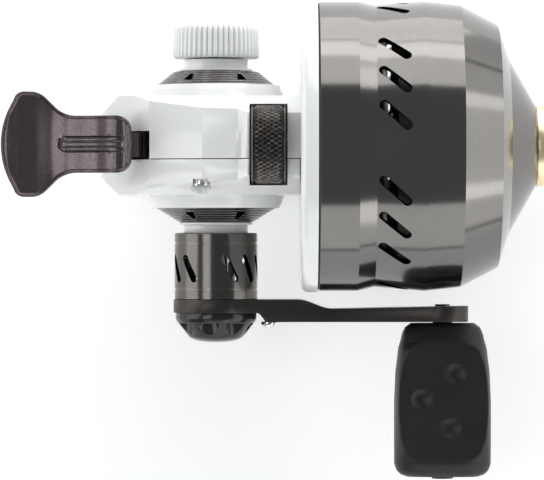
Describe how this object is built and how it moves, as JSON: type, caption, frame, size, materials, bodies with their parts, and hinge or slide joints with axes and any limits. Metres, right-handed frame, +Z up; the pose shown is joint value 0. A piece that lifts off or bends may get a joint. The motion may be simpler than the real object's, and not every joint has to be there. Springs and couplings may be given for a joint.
{
  "type": "spincast reel",
  "caption": "Closed-face spincast fishing reel with thumb lever, side crank and paddle knob, drag dial, vented front cover and a foot that clamps to a rod's reel seat.",
  "frame": {"origin": "on the underside of the foot, straight below the crank axis", "axes": "+X forward to the line exit, +Y away from the crank, +Z up from the foot to the thumb lever"},
  "size_m": [0.1349, 0.1199, 0.0825],
  "materials": {
    "white_gloss": "gloss enamel",
    "white_plastic": "satin gloss",
    "gunmetal": "polished gunmetal anodising",
    "drum_gunmetal": "brushed black nickel",
    "cap_black": "gloss black",
    "trim_black": "machined black anodising",
    "gold": "polished",
    "rubber_black": "seal",
    "arm_satin": "satin dark bronze",
    "pin_dark": "blackened steel",
    "spinner_titanium": "titanium coating",
    "knob_black": "soft touch",
    "lever_aubergine": "fine metal flake",
    "dial_dark": "knurled",
    "steel": "turned",
    "chrome_screw": "polished",
    "spring_steel": "spring wire",
    "bronze": "sintered bronze",
    "aluminium": "machined",
    "gear_zinc": "machined",
    "acetal": "moulded",
    "line_green": "braided line",
    "foot_black": "satin black"
  },
  "bodies": {
    "frame": {"body_housing": "white_gloss", "side_cover": "white_gloss", "side_cover_screws": "chrome_screw", "front_cover": "gunmetal", "cover_seal_ring": "rubber_black", "nose_ring": "gold", "far_trim_ring": "trim_black", "crank_trim_ring": "trim_black", "far_collar": "white_gloss", "crank_collar": "white_gloss", "far_bearing": "steel", "crank_bearing": "steel", "anti_reverse_clutch": "steel", "main_bearing": "steel", "pinion_bush": "bronze", "spool_hub": "aluminium", "hub_screws": "chrome_screw", "hub_bush": "bronze", "reel_foot": "foot_black", "foot_screws": "chrome_screw", "lever_pivot_pin": "steel", "lever_spring": "spring_steel", "shaft_spring": "spring_steel", "drag_washers": "steel", "spool_clip": "steel"},
    "crank": {"crank_shaft": "steel", "drive_gear": "gear_zinc", "slotted_drum": "drum_gunmetal", "crank_arm": "arm_satin", "crank_nut_cap": "cap_black", "nut_lock_screw": "chrome_screw", "side_cap": "white_plastic", "knob_pin": "pin_dark"},
    "knob": {"crank_knob": "knob_black", "knob_end_cap": "knob_black"},
    "lever": {"thumb_lever": "lever_aubergine"},
    "carriage": {"thrust_cap": "acetal"},
    "rotor": {"main_shaft": "steel", "spinner_head": "spinner_titanium", "spinner_nut": "steel"},
    "pickup": {"pickup_pin": "steel"},
    "pinion": {"pinion": "bronze"},
    "spool": {"spool": "aluminium", "wound_line": "line_green"},
    "dial": {"drag_dial": "dial_dark", "dial_spindle": "steel"},
    "drag_ring": {"drag_ring": "acetal"}
  },
  "joints": [
    {"name": "crank_spin", "type": "hinge", "parent": "frame", "child": "crank", "pos_m": [0, 0, 0.039], "axis": [0, 1, 0], "continuous": true},
    {"name": "knob_spin", "type": "hinge", "parent": "crank", "child": "knob", "pos_m": [0.057, -0.06, 0.039], "axis": [0, 1, 0], "continuous": true},
    {"name": "lever_press", "type": "hinge", "parent": "frame", "child": "lever", "pos_m": [-0.015, 0, 0.056], "axis": [0, -1, 0], "range_deg": [0, 13], "stiffness_Nm_per_rad": 0.6, "springref_deg": -20.05, "deforming": ["lever_spring"]},
    {"name": "shaft_push", "type": "slide", "parent": "frame", "child": "carriage", "axis": [1, 0, 0], "range_m": [0, 0.00262], "deforming": ["shaft_spring"]},
    {"name": "rotor_spin", "type": "hinge", "parent": "carriage", "child": "rotor", "pos_m": [0.05, 0, 0.046], "axis": [1, 0, 0], "continuous": true},
    {"name": "pickup_retract", "type": "slide", "parent": "rotor", "child": "pickup", "axis": [0, 0, -1], "range_m": [0, 0.00316]},
    {"name": "pinion_spin", "type": "hinge", "parent": "frame", "child": "pinion", "pos_m": [0.0108, 0, 0.046], "axis": [1, 0, 0], "continuous": true},
    {"name": "spool_slip", "type": "hinge", "parent": "frame", "child": "spool", "pos_m": [0.036, 0, 0.046], "axis": [1, 0, 0], "continuous": true},
    {"name": "dial_turn", "type": "hinge", "parent": "frame", "child": "dial", "pos_m": [0.0137, 0, 0.066], "axis": [1, 0, 0], "range_deg": [-150, 150]},
    {"name": "drag_ring_turn", "type": "hinge", "parent": "frame", "child": "drag_ring", "pos_m": [0.027, 0, 0.046], "axis": [1, 0, 0], "range_deg": [-65, 65]}
  ],
  "couplings": [
    {"joint": "pinion_spin", "follows": "crank_spin", "ratio": 3},
    {"joint": "rotor_spin", "follows": "crank_spin", "ratio": 3},
    {"joint": "shaft_push", "follows": "lever_press", "m_per_rad": 0.0114},
    {"joint": "pickup_retract", "follows": "lever_press", "m_per_rad": 0.0138},
    {"joint": "drag_ring_turn", "follows": "dial_turn", "ratio": -0.42857}
  ]
}
